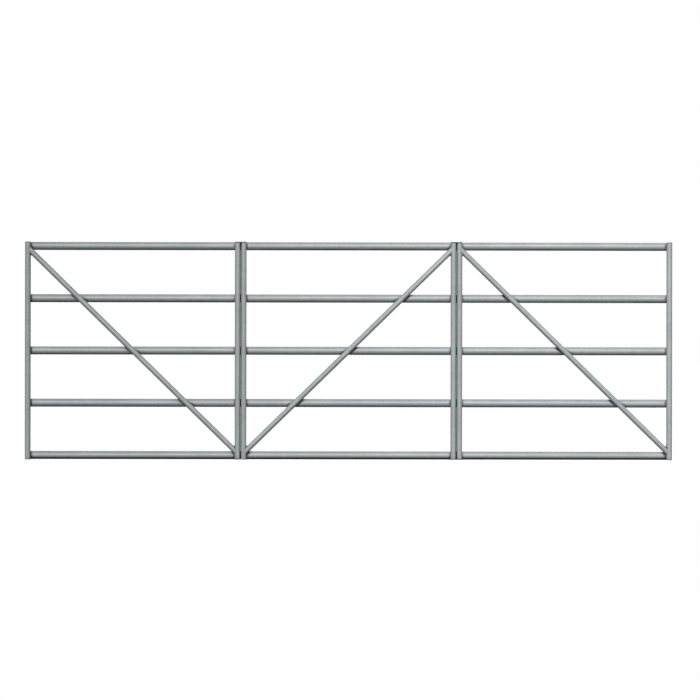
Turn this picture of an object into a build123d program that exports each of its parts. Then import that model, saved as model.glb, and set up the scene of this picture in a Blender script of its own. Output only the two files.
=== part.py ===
from build123d import *
import os

# Folding livestock panel: three braced sections of welded tube, joined end to end by pin hinges.
# Millimetres. +X runs along the panel, +Y from the braced front to the back, +Z up.
# The origin is on the ground, in the middle of the panel's length and depth.

# Panel
SECTION_WIDTH = 1200.0  # over the two posts of one section
SECTION_GAP = 0.8  # between the posts of neighbouring sections
PANEL_HEIGHT = 1212.0  # from the ground to the top of the top rail
RAIL_NAMES = ("bottom", "lower", "middle", "upper", "top")

# Tube stock
POST_OD = 32.0
POST_WALL = 2.5
RAIL_OD = 45.0
RAIL_WALL = 2.0
BRACE_OD = 30.0
BRACE_WALL = 2.0

# Welded joints
ROOT_GAP = 0.3  # between two tubes, filled by the weld
BEAD_SIZE = 4.0  # how far a weld stands out from each tube that it joins
BRACE_INSET = 51.0  # from the top or the ground to the brace's axis, at the inner side of a post

# Vent holes in the back of each brace, through which molten zinc runs in and out
VENT_DIAMETER = 10.0
VENT_INSET = 90.0  # from a post's axis, along the brace

# Plugs in the rail ends
PLUG_FLANGE = 3.0
PLUG_DEPTH = 15.0
PLUG_WALL = 2.5
PLUG_CHAMFER = 1.0

# Hinges
PIN_DIAMETER = 16.0
PIN_REACH = 45.0  # how far a pin stands out of its plate
PIN_CHAMFER = 2.0
PLATE_THICKNESS = 5.0
PLATE_MARGIN = 1.0  # from the outline of the posts in to the plate's edge
BUSH_FLANGE = 2.6
BUSH_DEPTH = 40.0  # how far a bush, socket or spigot reaches into its post
SOCKET_CHAMFER = 1.5

# Clearances
RUNNING_CLEARANCE = 0.08  # pin to bush, on the radius
PRESS_CLEARANCE = 0.05  # pieces pressed into a tube or a plate, on the radius
AXIAL_CLEARANCE = 0.4  # hinge plate to bush

# Values that follow from the sizes above
SECTION_PITCH = SECTION_WIDTH + SECTION_GAP
PANEL_DEPTH = POST_OD + ROOT_GAP + RAIL_OD
POST_Y = (POST_OD - PANEL_DEPTH) / 2
RAIL_Y = (PANEL_DEPTH - RAIL_OD) / 2
BRACE_Y = POST_Y + (POST_OD - BRACE_OD) / 2
POST_END = PLATE_THICKNESS + AXIAL_CLEARANCE + BUSH_FLANGE  # from the ground to the tube's lower end
POST_BORE = POST_OD / 2 - POST_WALL
INSERT_RADIUS = POST_BORE - PRESS_CLEARANCE
PIN_RADIUS = PIN_DIAMETER / 2
BUSH_BORE = PIN_RADIUS + RUNNING_CLEARANCE
PLATE_BORE = PIN_RADIUS + PRESS_CLEARANCE
POST_OFFSET = (SECTION_WIDTH - POST_OD) / 2  # from a section's middle to a post's axis
UPRIGHT = (Align.CENTER, Align.CENTER, Align.MIN)
MID_HEIGHT = Plane.XY.offset(PANEL_HEIGHT / 2)

# Each section's place along the panel, in pitches, its posts from left to right,
# and the side to which its brace falls.
SECTIONS = {
    "left": (-1, ("left_end_post", "left_hinge_post"), 1),
    "middle": (0, ("middle_left_post", "middle_right_post"), -1),
    "right": (1, ("right_hinge_post", "right_end_post"), 1),
}


def rod(radius, start, end):
    """A round bar between two points."""
    run = end - start
    return Plane(origin=start, z_dir=run) * Cylinder(radius, run.length, align=UPRIGHT)


def tube(diameter, wall, start, end):
    """A round tube between two points, open at both ends."""
    return rod(diameter / 2, start, end) - rod(diameter / 2 - wall, start, end)


def disc(radius, x, low, high):
    """An upright disc or bar on the axis of the post at x."""
    return Pos(x, POST_Y, low) * Cylinder(radius, high - low, align=UPRIGHT)


def at_top(shape):
    """The same piece turned over for the top of the panel."""
    return mirror(shape, about=MID_HEIGHT)


def post_line(x):
    """The ends of a post's axis."""
    return Vector(x, POST_Y, POST_END), Vector(x, POST_Y, PANEL_HEIGHT - POST_END)


def rail_line(centre_x, level):
    """The ends of a rail's axis, short of the outer faces of the posts by the plug's flange."""
    pitch = (PANEL_HEIGHT - RAIL_OD) / (len(RAIL_NAMES) - 1)
    z = RAIL_OD / 2 + level * pitch
    reach = SECTION_WIDTH / 2 - PLUG_FLANGE
    return Vector(centre_x - reach, RAIL_Y, z), Vector(centre_x + reach, RAIL_Y, z)


def brace_line(centre_x, falls):
    """The ends of a brace's axis, on the axes of the two posts."""
    run = SECTION_WIDTH - 2 * POST_OD
    drop = PANEL_HEIGHT - 2 * BRACE_INSET
    past = drop / run * POST_OD / 2
    high = Vector(centre_x - falls * POST_OFFSET, BRACE_Y, PANEL_HEIGHT - BRACE_INSET + past)
    low = Vector(centre_x + falls * POST_OFFSET, BRACE_Y, BRACE_INSET - past)
    return high, low


def brace(line, posts):
    """A brace with its ends coped to fit round the two posts, and a vent hole near each end."""
    piece = tube(BRACE_OD, BRACE_WALL, *line)
    for post in posts:
        piece -= rod(POST_OD / 2 + ROOT_GAP, *post)
    for near, far in (line, line[::-1]):
        place = near + (far - near).normalized() * VENT_INSET
        piece -= rod(VENT_DIAMETER / 2, place, place + Vector(0, BRACE_OD, 0))
    return piece


def weld_lens(radius_a, line_a, radius_b, line_b):
    """The space close to both of two tubes, where their weld lies."""
    return rod(radius_a + BEAD_SIZE, *line_a) & rod(radius_b + BEAD_SIZE, *line_b)


def weld_beads(posts, rails, brace_axis):
    """The welds of one section: each post and the brace to the rails, and the brace to the posts."""
    post_radius = POST_OD / 2
    rail_radius = RAIL_OD / 2
    brace_radius = BRACE_OD / 2
    lenses = [weld_lens(post_radius, post, rail_radius, rail) for post in posts for rail in rails]
    lenses += [weld_lens(brace_radius, brace_axis, rail_radius, rail) for rail in rails[1:-1]]
    # The brace's end welds stay behind its axis, so that the next post can swing past the front.
    behind = Plane.XZ.offset(-BRACE_Y)
    for post in posts:
        collar = weld_lens(brace_radius, brace_axis, post_radius, post)
        lenses.append(split(collar, bisect_by=behind, keep=Keep.BOTTOM))
    beads = lenses[0].fuse(*lenses[1:])
    beads = beads.cut(*(rod(post_radius, *post) for post in posts))
    beads = beads.cut(*(rod(rail_radius, *rail) for rail in rails))
    return beads.cut(rod(brace_radius, *brace_axis))


def rail_plug(end, outward):
    """A hollow plug in the end of a rail, with a flange over the tube's end."""
    bore = RAIL_OD / 2 - RAIL_WALL - PRESS_CLEARANCE
    flange = Cylinder(RAIL_OD / 2, PLUG_FLANGE, align=UPRIGHT)
    flange = chamfer(flange.edges().group_by(Axis.Z)[-1], PLUG_CHAMFER)
    skirt = Cylinder(bore, PLUG_DEPTH, align=UPRIGHT) - Cylinder(bore - PLUG_WALL, PLUG_DEPTH, align=UPRIGHT)
    plug = flange + Pos(0, 0, -PLUG_DEPTH) * skirt
    return Plane(origin=end, z_dir=(outward, 0, 0)) * plug


def flanged_insert(x, flange):
    """A flanged bush pressed into the lower end of a post, with a bore for a hinge pin."""
    piece = disc(POST_OD / 2, x, POST_END - flange, POST_END)
    piece += disc(INSERT_RADIUS, x, POST_END, POST_END + BUSH_DEPTH)
    return piece - disc(BUSH_BORE, x, POST_END - flange, POST_END + BUSH_DEPTH)


def end_socket(x):
    """The free socket at the outer end of the panel, which stands on the ground."""
    piece = flanged_insert(x, POST_END)
    return chamfer(piece.edges().group_by(Axis.Z)[0].sort_by(SortBy.RADIUS)[-1], SOCKET_CHAMFER)


def hinge_plate(x_fixed, x_leaf):
    """A round-ended plate from the axis of one post to the axis of its neighbour."""
    outline = SlotCenterToCenter(abs(x_leaf - x_fixed), POST_OD - 2 * PLATE_MARGIN)
    holes = [Pos((x_leaf - x_fixed) * side / 2, 0) * Circle(PLATE_BORE) for side in (-1, 1)]
    plate = extrude(outline - holes, amount=PLATE_THICKNESS)
    return Pos((x_fixed + x_leaf) / 2, POST_Y, 0) * plate


def plate_spigot(x):
    """The spigot that holds a pivot plate in the foot of a post."""
    piece = disc(PIN_RADIUS, x, 0, PLATE_THICKNESS)
    piece += disc(POST_OD / 2, x, PLATE_THICKNESS, POST_END)
    return piece + disc(INSERT_RADIUS, x, POST_END, POST_END + BUSH_DEPTH)


def plate_pin(x):
    """A pin that is pressed into a plate and stands up from it."""
    pin = disc(PIN_RADIUS, x, 0, PLATE_THICKNESS + PIN_REACH)
    return chamfer(pin.edges().group_by(Axis.Z)[-1], PIN_CHAMFER)


def section(name):
    """The tubes, plugs and welds of one section, by node name."""
    place, post_names, falls = SECTIONS[name]
    centre_x = place * SECTION_PITCH
    posts = [post_line(centre_x + side * POST_OFFSET) for side in (-1, 1)]
    rails = [rail_line(centre_x, level) for level in range(len(RAIL_NAMES))]
    brace_axis = brace_line(centre_x, falls)
    pieces = {post: tube(POST_OD, POST_WALL, *line) for post, line in zip(post_names, posts)}
    for rail_name, line in zip(RAIL_NAMES, rails):
        pieces[f"{name}_{rail_name}_rail"] = tube(RAIL_OD, RAIL_WALL, *line)
    pieces[f"{name}_brace"] = brace(brace_axis, posts)
    plugs = [rail_plug(line[end], outward) for line in rails for end, outward in ((0, -1), (1, 1))]
    pieces[f"{name}_rail_plugs"] = Compound(plugs)
    pieces[f"{name}_weld_beads"] = Compound(weld_beads(posts, rails, brace_axis).solids())
    return pieces


def hinge(name, side):
    """The foot pivot and the top link between the middle section and the leaf on one side."""
    x_fixed = side * POST_OFFSET
    x_leaf = side * (SECTION_PITCH - POST_OFFSET)
    bush = flanged_insert(x_leaf, BUSH_FLANGE)
    return {
        f"{name}_pivot_plate": hinge_plate(x_fixed, x_leaf),
        f"{name}_pivot_pin": plate_pin(x_leaf),
        f"{name}_plate_spigot": plate_spigot(x_fixed),
        f"{name}_foot_bush": bush,
        f"{name}_top_bush": at_top(bush),
        f"{name}_keeper_bush": at_top(flanged_insert(x_fixed, BUSH_FLANGE)),
        f"{name}_link_plate": at_top(hinge_plate(x_fixed, x_leaf)),
        f"{name}_link_leaf_pin": at_top(plate_pin(x_leaf)),
        f"{name}_link_keeper_pin": at_top(plate_pin(x_fixed)),
    }


def end_sockets(name, side):
    """The sockets in the foot and the top of an outer post."""
    socket = end_socket(side * (SECTION_PITCH + POST_OFFSET))
    return {f"{name}_foot_socket": socket, f"{name}_top_socket": at_top(socket)}


nodes = {}
for section_name in SECTIONS:
    nodes.update(section(section_name))
for leaf_name, leaf_side in (("left", -1), ("right", 1)):
    nodes.update(hinge(leaf_name, leaf_side))
    nodes.update(end_sockets(leaf_name, leaf_side))

os.makedirs("parts", exist_ok=True)
for node_name, shape in nodes.items():
    export_step(shape, f"parts/{node_name}.step")
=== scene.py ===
import math

import bmesh
import bpy
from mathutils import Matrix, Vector


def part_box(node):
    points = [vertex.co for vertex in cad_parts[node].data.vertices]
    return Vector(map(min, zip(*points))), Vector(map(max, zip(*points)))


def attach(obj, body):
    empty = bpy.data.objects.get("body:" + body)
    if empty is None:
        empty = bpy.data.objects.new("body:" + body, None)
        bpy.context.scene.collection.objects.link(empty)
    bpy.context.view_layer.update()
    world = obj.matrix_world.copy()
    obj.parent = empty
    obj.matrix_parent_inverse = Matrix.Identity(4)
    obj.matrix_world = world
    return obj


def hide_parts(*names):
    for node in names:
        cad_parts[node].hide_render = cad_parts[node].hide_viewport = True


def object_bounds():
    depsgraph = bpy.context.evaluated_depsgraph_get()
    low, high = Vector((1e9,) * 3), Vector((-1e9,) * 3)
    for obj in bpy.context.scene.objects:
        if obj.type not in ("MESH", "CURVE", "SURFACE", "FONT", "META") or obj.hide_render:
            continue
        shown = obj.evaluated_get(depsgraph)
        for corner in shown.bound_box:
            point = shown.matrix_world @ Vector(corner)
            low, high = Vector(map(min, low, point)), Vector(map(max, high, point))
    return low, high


# A folding livestock panel of galvanised tube, on a white floor in soft light.
# Metres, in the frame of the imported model: +X along the panel, +Y to the back, +Z up.

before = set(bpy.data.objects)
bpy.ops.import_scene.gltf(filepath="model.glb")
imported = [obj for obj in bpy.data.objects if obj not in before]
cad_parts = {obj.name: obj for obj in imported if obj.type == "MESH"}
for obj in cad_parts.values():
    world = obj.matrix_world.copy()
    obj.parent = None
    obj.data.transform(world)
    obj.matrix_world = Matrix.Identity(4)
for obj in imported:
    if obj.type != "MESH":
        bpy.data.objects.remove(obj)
cad_low, cad_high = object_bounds()

# Sections of the panel
SECTIONS = ("left", "middle", "right")

# The photograph's framing, in its pixels
IMAGE_PX = 700
PANEL_PX = 647.2  # the panel's length
CENTRE_PX = (348.5, 350.9)  # the panel's middle
ROLL = 0.09  # degrees, the panel's right end is lower

# Camera
CAMERA_DISTANCE = 11.0  # from the axes of the posts
SENSOR_MM = 36.0
LEVEL = 90.0  # degrees, from looking down to looking along +Y

# Suns: strength, then degrees to the right of the camera, above the horizon, and across the sun
KEY_STRENGTH = 2.25
KEY_SIDE = -8.0
KEY_HEIGHT = 23.0
KEY_SOFTNESS = 24.0
BACK_STRENGTH = 2.2
BACK_SIDE = 180.0
BACK_HEIGHT = 8.0
BACK_SOFTNESS = 20.0
SUN_DISTANCE = 10.0

# Lamp over the right end
SIDE_POWER = 26.0  # watts
SIDE_PLACE = (0.9, -4.2, 3.6)
SIDE_TARGET = (1.7, 0.0, 0.6)
SIDE_SIZE = 1.2
SIDE_SPREAD = 90.0  # degrees

# Surroundings
WHITE = (1, 1, 1, 1)
BACKDROP = 1.0  # how strongly the surroundings show
AMBIENT = 0.015  # how strongly they light the object

# Floor
FLOOR_SIZE = 160.0
FLOOR_DROP = 0.0005  # below the panel's feet
FLOOR_SEEN = 0.8  # the colour that the camera sees, lit and in shadow
FLOOR_BOUNCE = 0.04  # the colour that lights the object from below
FLOOR_GLOW = 0.7  # brings the lit floor up to white

# Patterns. A noise has a scale, in features per metre, and a detail. A bump has a strength and a depth.
# A range has two ends.
UNIT = (0.0, 1.0)
FALLING = (1.0, 0.0)
NOISE_SPAN = (0.3, 0.7)  # where most of a noise's values lie
EDGE_RADIUS = 0.0012
EDGE_TURN = (0.75, 0.98)  # the cosine of a rounded edge's turn, at a sharp edge and in the open
GAP_SAMPLES = 8  # rays that feel for a surface close by

# Zinc
ZINC_METALLIC = 0.1
ZINC_SPECULAR = 0.0
ZINC_EDGE = (0, 0, 0, 1)  # a dull metal, which reflects little at a flat angle
ZINC_DARK = (0.350, 0.388, 0.384, 1)
ZINC_LIGHT = (0.428, 0.474, 0.469, 1)
ZINC_TONE = (0.25, 0.75)  # clouds and crystals together, where the zinc is darkest and lightest
ZINC_ROUGH = (0.36, 0.48)
ZINC_CRYSTALS = 110.0  # crystals per metre
ZINC_CLOUDS = (5.0, 4.0)
ZINC_GRAIN = (420.0, 3.0)
ZINC_BUMP = (0.12, 0.0006)
CRYSTAL_TONE = (-0.2, 0.2)  # what a crystal adds to the clouds
GRAIN_ROUGH = (-0.04, 0.04)  # what the grain adds to the roughness
GAP_SHADE = (0.05, 0.055, 0.055, 1)  # painted shade in the gaps between tubes, where little light reaches
GAP_SHADE_REACH = 0.02
GAP_SHADE_OPEN = (0.45, 0.9)  # how open a surface is where the painted shade is darkest, and where it ends
UNDERSIDE_SHADE = (0.10, 0.105, 0.105, 1)  # painted shade under the tubes, in cloudy patches
UNDERSIDE_SHADE_TILT = (-0.85, 0.02)  # the upward part of the normal where the painted shade is darkest, and where it ends
UNDERSIDE_SHADE_COVER = (0.65, 0.9)

# Weld metal
WELD_METALLIC = 0.15
WELD_SPECULAR = 0.1
WELD_DARK = (0.13, 0.14, 0.14, 1)
WELD_LIGHT = (0.36, 0.385, 0.382, 1)
WELD_ROUGH = (0.4, 0.6)
WELD_GRAIN = (300.0, 4.0)
WELD_SOOT = (45.0, 3.0)
WELD_BUMP = (0.3, 0.0006)
WELD_GRAIN_TONE = (0.5, 1.0)
WELD_SOOT_TONE = (0.4, 1.0)

# Plated steel of the hinges
STEEL_METALLIC = 0.35
STEEL_SPECULAR = 0.2
STEEL_DARK = (0.16, 0.168, 0.166, 1)
STEEL_LIGHT = (0.30, 0.312, 0.309, 1)
STEEL_WORN = (0.48, 0.49, 0.485, 1)
STEEL_ROUGH = (0.3, 0.5)
STEEL_TURNING = (60.0, 3.0)
STEEL_SQUEEZE = (1.0, 1.0, 30.0)  # flattens the noise into level marks, as turning leaves them
STEEL_STAINS = (35.0, 4.0)
STEEL_BUMP = (0.1, 0.0003)
STEEL_WEAR = (0.3, 1.0)

# Dark steel of the links
LINK_METALLIC = 0.3
LINK_SPECULAR = 0.2
LINK_DARK = (0.026, 0.028, 0.029, 1)
LINK_LIGHT = (0.07, 0.073, 0.075, 1)
LINK_WORN = (0.24, 0.245, 0.245, 1)
LINK_ROUGH = (0.35, 0.55)
LINK_RUB = (90.0, 4.0)
LINK_BUMP = (0.1, 0.0003)
LINK_WEAR = (0.1, 0.9)

# Black plastic of the plugs
PLUG_SPECULAR = 0.4
PLUG_BLACK = (0.012, 0.012, 0.013, 1)
PLUG_DUSTY = (0.045, 0.044, 0.042, 1)
PLUG_ROUGH = (0.4, 0.6)
PLUG_GRAIN = (900.0, 2.0)
PLUG_DUST = (40.0, 4.0)
PLUG_BUMP = (0.15, 0.0003)

# Weld relief
WELD_FACE = 0.0009
RIPPLE_PITCH = 0.004
RIPPLE_DEPTH = 0.0007
RIPPLE_SWAY = 1.2  # how far the ripples crowd and spread, in radians
RIPPLE_SWAYS = 3  # how often in one turn
CRUMB_VERTICES = 100  # smaller scraps of mesh at the tips of a bead are left out
SAME_POINT = 0.00001

# A mix node's sockets for colours, which share their names with its other sockets
MIX_FIRST = 6
MIX_SECOND = 7
MIX_RESULT = 2


class Look:
    """A material with its principled shader, and short ways to add the nodes that feed it."""

    def __init__(self, name, sockets):
        self.material = bpy.data.materials.new(name)
        self.material.use_nodes = True
        self.nodes = self.material.node_tree.nodes
        self.links = self.material.node_tree.links
        self.shader = self.nodes["Principled BSDF"]
        self.place = self.add("ShaderNodeTexCoord").outputs["Object"]
        self.set(sockets)

    def add(self, kind, inputs=None, **settings):
        """A new node. An input is a value, or another node's output."""
        node = self.nodes.new(kind)
        for name, value in settings.items():
            setattr(node, name, value)
        for name, value in (inputs or {}).items():
            self.feed(node.inputs[name], value)
        return node

    def feed(self, socket, value):
        """Links a socket to another node's output, or sets its value."""
        if isinstance(value, bpy.types.NodeSocket):
            self.links.new(value, socket)
        else:
            socket.default_value = value

    def set(self, sockets):
        """Sets the shader's sockets by name."""
        for name, value in sockets.items():
            self.feed(self.shader.inputs[name], value)

    def coated(self, colour, rough, normal):
        """The material, with its surface set."""
        self.set({"Base Color": colour, "Roughness": rough, "Normal": normal})
        return self.material

    def squeezed(self, scale):
        """The object's coordinates, scaled along each axis."""
        return self.add("ShaderNodeMapping", {"Vector": self.place, "Scale": scale}).outputs["Vector"]

    def noise(self, scale, detail, place=None):
        """A cloudy pattern."""
        inputs = {"Vector": place or self.place, "Scale": scale, "Detail": detail}
        return self.add("ShaderNodeTexNoise", inputs).outputs["Fac"]

    def cells(self, scale):
        """One random value for each crystal."""
        colour = self.add("ShaderNodeTexVoronoi", {"Vector": self.place, "Scale": scale}).outputs["Color"]
        return self.add("ShaderNodeSeparateColor", {"Color": colour}).outputs["Red"]

    def edges(self, radius, turn):
        """1 near a sharp edge, 0 on open surfaces."""
        soft = self.add("ShaderNodeBevel", {"Radius": radius}).outputs["Normal"]
        true = self.add("ShaderNodeNewGeometry").outputs["Normal"]
        node = self.add("ShaderNodeVectorMath", operation="DOT_PRODUCT")
        self.feed(node.inputs[0], soft)
        self.feed(node.inputs[1], true)
        return self.spread(node.outputs["Value"], FALLING, turn)

    def shade_in_gaps(self, reach, openness):
        """Where shade is painted: 1 deep in a gap between two surfaces, 0 in the clear."""
        node = self.add("ShaderNodeAmbientOcclusion", {"Distance": reach}, samples=GAP_SAMPLES)
        return self.spread(node.outputs["AO"], FALLING, openness)

    def shade_below(self, tilt):
        """Where shade is painted: 1 where a surface faces down, 0 where it faces sideways or up."""
        normal = self.add("ShaderNodeNewGeometry").outputs["Normal"]
        upward = self.add("ShaderNodeSeparateXYZ", {"Vector": normal}).outputs["Z"]
        return self.spread(upward, FALLING, tilt)

    def spread(self, value, to=UNIT, span=NOISE_SPAN):
        """Maps a pattern's values from a span to another range."""
        inputs = {"Value": value}
        inputs["From Min"], inputs["From Max"] = span
        inputs["To Min"], inputs["To Max"] = to
        return self.add("ShaderNodeMapRange", inputs).outputs["Result"]

    def math(self, operation, first, second):
        """Two patterns, added or multiplied."""
        node = self.add("ShaderNodeMath", operation=operation)
        self.feed(node.inputs[0], first)
        self.feed(node.inputs[1], second)
        return node.outputs["Value"]

    def mix(self, factor, first, second):
        """Blends two colours by a pattern."""
        node = self.add("ShaderNodeMix", {"Factor": factor}, data_type="RGBA")
        self.feed(node.inputs[MIX_FIRST], first)
        self.feed(node.inputs[MIX_SECOND], second)
        return node.outputs[MIX_RESULT]

    def bump(self, height, strength, depth):
        """Small relief from a pattern."""
        inputs = {"Height": height, "Strength": strength, "Distance": depth}
        return self.add("ShaderNodeBump", inputs).outputs["Normal"]


def galvanised_tube():
    """Hot-dipped zinc: dull grey, faint crystals, clouds and a fine grain, and shade painted below and in
    gaps.
    """
    sockets = {"Metallic": ZINC_METALLIC, "Specular IOR Level": ZINC_SPECULAR, "Specular Tint": ZINC_EDGE}
    look = Look("galvanised_zinc", sockets)
    crystals = look.cells(ZINC_CRYSTALS)
    clouds = look.noise(*ZINC_CLOUDS)
    grain = look.noise(*ZINC_GRAIN)
    tone = look.math("ADD", look.spread(crystals, CRYSTAL_TONE, UNIT), clouds)
    unshaded_zinc = look.mix(look.spread(tone, UNIT, ZINC_TONE), ZINC_DARK, ZINC_LIGHT)
    # Painted shade: the zinc is darker, in cloudy patches, where its surface faces down.
    underside_shade_mask = look.math("MULTIPLY", look.shade_below(UNDERSIDE_SHADE_TILT), look.spread(clouds, UNDERSIDE_SHADE_COVER))
    zinc_shaded_below = look.mix(underside_shade_mask, unshaded_zinc, UNDERSIDE_SHADE)
    # Painted shade: the zinc is darkened deep in the gaps between tubes, where little light reaches.
    colour = look.mix(look.shade_in_gaps(GAP_SHADE_REACH, GAP_SHADE_OPEN), zinc_shaded_below, GAP_SHADE)
    rough = look.math("ADD", look.spread(crystals, ZINC_ROUGH, UNIT), look.spread(grain, GRAIN_ROUGH))
    return look.coated(colour, rough, look.bump(grain, *ZINC_BUMP))


def weld_metal():
    """Weld bead under zinc: rougher and darker than the tubes."""
    look = Look("weld_zinc", {"Metallic": WELD_METALLIC, "Specular IOR Level": WELD_SPECULAR})
    grain = look.noise(*WELD_GRAIN)
    soot = look.noise(*WELD_SOOT)
    tone = look.math("MULTIPLY", look.spread(grain, WELD_GRAIN_TONE), look.spread(soot, WELD_SOOT_TONE))
    colour = look.mix(tone, WELD_DARK, WELD_LIGHT)
    return look.coated(colour, look.spread(grain, WELD_ROUGH), look.bump(grain, *WELD_BUMP))


def hinge_steel():
    """Turned and plated steel of the bushes, pins and foot plates, rubbed bright along its edges."""
    look = Look("plated_steel", {"Metallic": STEEL_METALLIC, "Specular IOR Level": STEEL_SPECULAR})
    turning = look.noise(*STEEL_TURNING, place=look.squeezed(STEEL_SQUEEZE))
    stains = look.noise(*STEEL_STAINS)
    plain = look.mix(look.spread(stains), STEEL_DARK, STEEL_LIGHT)
    worn = look.math("MULTIPLY", look.edges(EDGE_RADIUS, EDGE_TURN), look.spread(stains, STEEL_WEAR))
    colour = look.mix(worn, plain, STEEL_WORN)
    return look.coated(colour, look.spread(turning, STEEL_ROUGH), look.bump(turning, *STEEL_BUMP))


def link_steel():
    """Dark steel of the lift-out links, rubbed bright along its edges."""
    look = Look("dark_steel", {"Metallic": LINK_METALLIC, "Specular IOR Level": LINK_SPECULAR})
    rub = look.noise(*LINK_RUB)
    plain = look.mix(look.spread(rub), LINK_DARK, LINK_LIGHT)
    worn = look.math("MULTIPLY", look.edges(EDGE_RADIUS, EDGE_TURN), look.spread(rub, LINK_WEAR))
    colour = look.mix(worn, plain, LINK_WORN)
    return look.coated(colour, look.spread(rub, LINK_ROUGH), look.bump(rub, *LINK_BUMP))


def plug_plastic():
    """Black moulded plastic of the plugs, with dust on it."""
    look = Look("black_plastic", {"Specular IOR Level": PLUG_SPECULAR})
    grain = look.noise(*PLUG_GRAIN)
    dust = look.noise(*PLUG_DUST)
    colour = look.mix(look.spread(dust), PLUG_BLACK, PLUG_DUSTY)
    return look.coated(colour, look.spread(dust, PLUG_ROUGH), look.bump(grain, *PLUG_BUMP))


LOOKS = {
    "galvanised_tube": galvanised_tube,
    "weld_metal": weld_metal,
    "hinge_steel": hinge_steel,
    "link_steel": link_steel,
    "plug_plastic": plug_plastic,
}


def dress_nodes():
    """Gives every CAD node the look of its material slot, and returns the looks."""
    looks = {slot: make() for slot, make in LOOKS.items()}
    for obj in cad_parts.values():
        for slot in obj.material_slots:
            slot.material = looks[slot.material.name]
    return looks


def fine_welds(node):
    """A weld node's beads, rebuilt from small even faces."""
    mesh = bmesh.new()
    mesh.from_mesh(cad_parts[node].data)
    bmesh.ops.remove_doubles(mesh, verts=mesh.verts, dist=SAME_POINT)
    data = bpy.data.meshes.new(node)
    mesh.to_mesh(data)
    mesh.free()
    coarse = bpy.data.objects.new(node, data)
    bpy.context.scene.collection.objects.link(coarse)
    remesh = coarse.modifiers.new("remesh", "REMESH")
    remesh.mode = "VOXEL"
    remesh.voxel_size = WELD_FACE
    graph = bpy.context.evaluated_depsgraph_get()
    fine = bmesh.new()
    fine.from_mesh(coarse.evaluated_get(graph).data)
    bpy.data.objects.remove(coarse)
    bpy.data.meshes.remove(data)
    return fine


def islands(mesh):
    """The separate beads of a weld mesh, as lists of vertices."""
    left = dict.fromkeys(mesh.verts)
    beads = []
    while left:
        bead = [left.popitem()[0]]
        for vert in bead:
            for edge in vert.link_edges:
                other = edge.other_vert(vert)
                if other in left:
                    del left[other]
                    bead.append(other)
        beads.append(bead)
    return beads


def ripple_bead(bead):
    """Cuts the ripples of a weld run into a bead, round the line through its middle to the back."""
    middle = sum((vert.co for vert in bead), Vector()) / len(bead)
    run = 2 * math.pi * max((vert.co - middle).length for vert in bead)
    count = round(run / RIPPLE_PITCH)
    for vert in bead:
        out = vert.co - middle
        out.y = 0
        out.normalize()
        turn = math.atan2(out.z, out.x)
        wave = math.cos(turn * count + RIPPLE_SWAY * math.sin(turn * RIPPLE_SWAYS))
        vert.co -= out * RIPPLE_DEPTH * (1 + wave) / 2 * max(0.0, out.dot(vert.normal))


def ripple_welds(look):
    """Replaces each section's plain welds by rippled ones in the same space."""
    for name in SECTIONS:
        node = f"{name}_weld_beads"
        mesh = fine_welds(node)
        mesh.normal_update()
        for bead in islands(mesh):
            if len(bead) < CRUMB_VERTICES:
                bmesh.ops.delete(mesh, geom=bead, context="VERTS")
            else:
                ripple_bead(bead)
        data = bpy.data.meshes.new(f"{name}_rippled_welds")
        mesh.to_mesh(data)
        mesh.free()
        data.shade_smooth()
        data.materials.append(look)
        piece = bpy.data.objects.new(data.name, data)
        bpy.context.scene.collection.objects.link(piece)
        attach(piece, f"{name}_section")
        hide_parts(node)


def seen(nodes, links):
    """1 for what the camera sees, straight or in a reflection or through glass, and 0 for other light."""
    path = nodes.new("ShaderNodeLightPath")
    total = path.outputs["Is Camera Ray"]
    for name in ("Is Glossy Ray", "Is Transmission Ray"):
        either = nodes.new("ShaderNodeMath")
        either.operation = "MAXIMUM"
        links.new(total, either.inputs[0])
        links.new(path.outputs[name], either.inputs[1])
        total = either.outputs["Value"]
    return total


def make_world():
    """White to look at, and a low even light on the object."""
    world = bpy.data.worlds.new("studio")
    world.use_nodes = True
    nodes, links = world.node_tree.nodes, world.node_tree.links
    strength = nodes.new("ShaderNodeMapRange")
    strength.inputs["To Min"].default_value = AMBIENT
    strength.inputs["To Max"].default_value = BACKDROP
    links.new(seen(nodes, links), strength.inputs["Value"])
    background = nodes["Background"]
    background.inputs["Color"].default_value = WHITE
    links.new(strength.outputs["Result"], background.inputs["Strength"])
    bpy.context.scene.world = world


def floor_material():
    """A pale matte floor, with a glow that shows but doesn't light the object."""
    material = bpy.data.materials.new("floor")
    material.use_nodes = True
    nodes, links = material.node_tree.nodes, material.node_tree.links
    nodes.remove(nodes["Principled BSDF"])
    shown = seen(nodes, links)
    shade = nodes.new("ShaderNodeMapRange")
    shade.inputs["To Min"].default_value = FLOOR_BOUNCE
    shade.inputs["To Max"].default_value = FLOOR_SEEN
    links.new(shown, shade.inputs["Value"])
    matte = nodes.new("ShaderNodeBsdfDiffuse")
    links.new(shade.outputs["Result"], matte.inputs["Color"])
    level = nodes.new("ShaderNodeMath")
    level.operation = "MULTIPLY"
    level.inputs[1].default_value = FLOOR_GLOW
    links.new(shown, level.inputs[0])
    glow = nodes.new("ShaderNodeEmission")
    links.new(level.outputs["Value"], glow.inputs["Strength"])
    both = nodes.new("ShaderNodeAddShader")
    links.new(matte.outputs["BSDF"], both.inputs[0])
    links.new(glow.outputs["Emission"], both.inputs[1])
    links.new(both.outputs["Shader"], nodes["Material Output"].inputs["Surface"])
    return material


def make_floor():
    """A floor that looks white and keeps the panel's soft shadow."""
    half = FLOOR_SIZE / 2
    sides = ((-half, -half), (half, -half), (half, half), (-half, half))
    corners = [(x, y, -FLOOR_DROP) for x, y in sides]
    mesh = bpy.data.meshes.new("floor")
    mesh.from_pydata(corners, [], [(0, 1, 2, 3)])
    mesh.materials.append(floor_material())
    floor = bpy.data.objects.new("floor", mesh)
    bpy.context.scene.collection.objects.link(floor)


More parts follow.
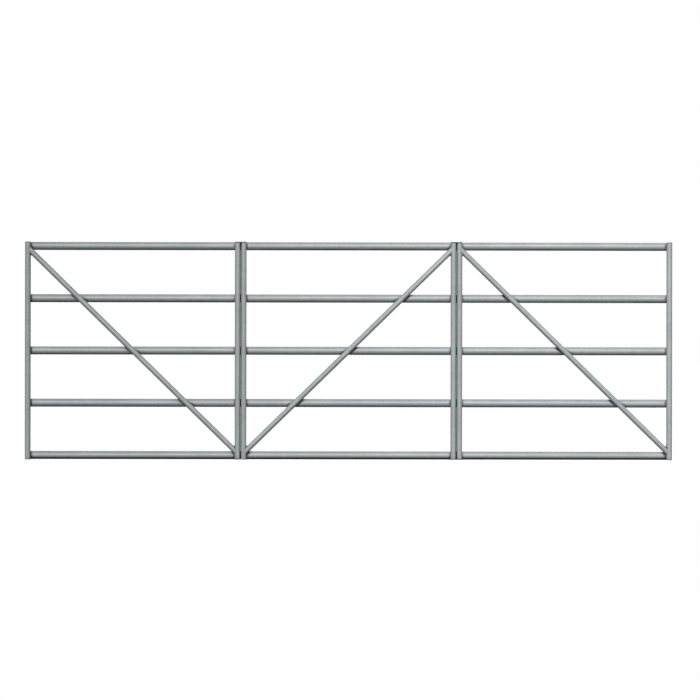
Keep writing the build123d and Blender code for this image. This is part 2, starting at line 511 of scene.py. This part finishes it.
def add_light(name, kind, place, target, **settings):
    """A lamp at a place, turned to a target."""
    data = bpy.data.lights.new(name, kind)
    for setting, value in settings.items():
        setattr(data, setting, value)
    lamp = bpy.data.objects.new(name, data)
    lamp.location = place
    lamp.rotation_euler = (Vector(target) - Vector(place)).to_track_quat("-Z", "Y").to_euler()
    bpy.context.scene.collection.objects.link(lamp)


def add_sun(name, strength, side, height, softness):
    """A sun that shines on the panel from a side and a height, in degrees."""
    turn, rise = math.radians(side), math.radians(height)
    away = Vector((math.sin(turn) * math.cos(rise), -math.cos(turn) * math.cos(rise), math.sin(rise)))
    add_light(name, "SUN", away * SUN_DISTANCE, (0, 0, 0), energy=strength, angle=math.radians(softness))


def make_lights():
    """A broad sun from above the camera's left, one from behind, and a weak lamp over the right end."""
    add_sun("key", KEY_STRENGTH, KEY_SIDE, KEY_HEIGHT, KEY_SOFTNESS)
    add_sun("back", BACK_STRENGTH, BACK_SIDE, BACK_HEIGHT, BACK_SOFTNESS)
    spread = math.radians(SIDE_SPREAD)
    add_light("side", "AREA", SIDE_PLACE, SIDE_TARGET, energy=SIDE_POWER, size=SIDE_SIZE, spread=spread)


def make_camera():
    """A level camera in front, which frames the panel as the photograph does."""
    centre = (cad_low + cad_high) / 2
    metres_per_px = (cad_high.x - cad_low.x) / PANEL_PX
    post_low, post_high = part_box("left_end_post")
    data = bpy.data.cameras.new("camera")
    data.sensor_width = SENSOR_MM
    data.lens = SENSOR_MM * CAMERA_DISTANCE / (IMAGE_PX * metres_per_px)
    data.clip_end = FLOOR_SIZE
    camera = bpy.data.objects.new("camera", data)
    camera.location = (
        centre.x + (IMAGE_PX / 2 - CENTRE_PX[0]) * metres_per_px,
        (post_low.y + post_high.y) / 2 - CAMERA_DISTANCE,
        centre.z + (CENTRE_PX[1] - IMAGE_PX / 2) * metres_per_px,
    )
    camera.rotation_euler = (math.radians(LEVEL), -math.radians(ROLL), 0)
    bpy.context.scene.collection.objects.link(camera)
    bpy.context.scene.camera = camera


node_looks = dress_nodes()
ripple_welds(node_looks["weld_metal"])
make_world()
make_floor()
make_lights()
make_camera()
bpy.context.scene.view_settings.view_transform = "Standard"
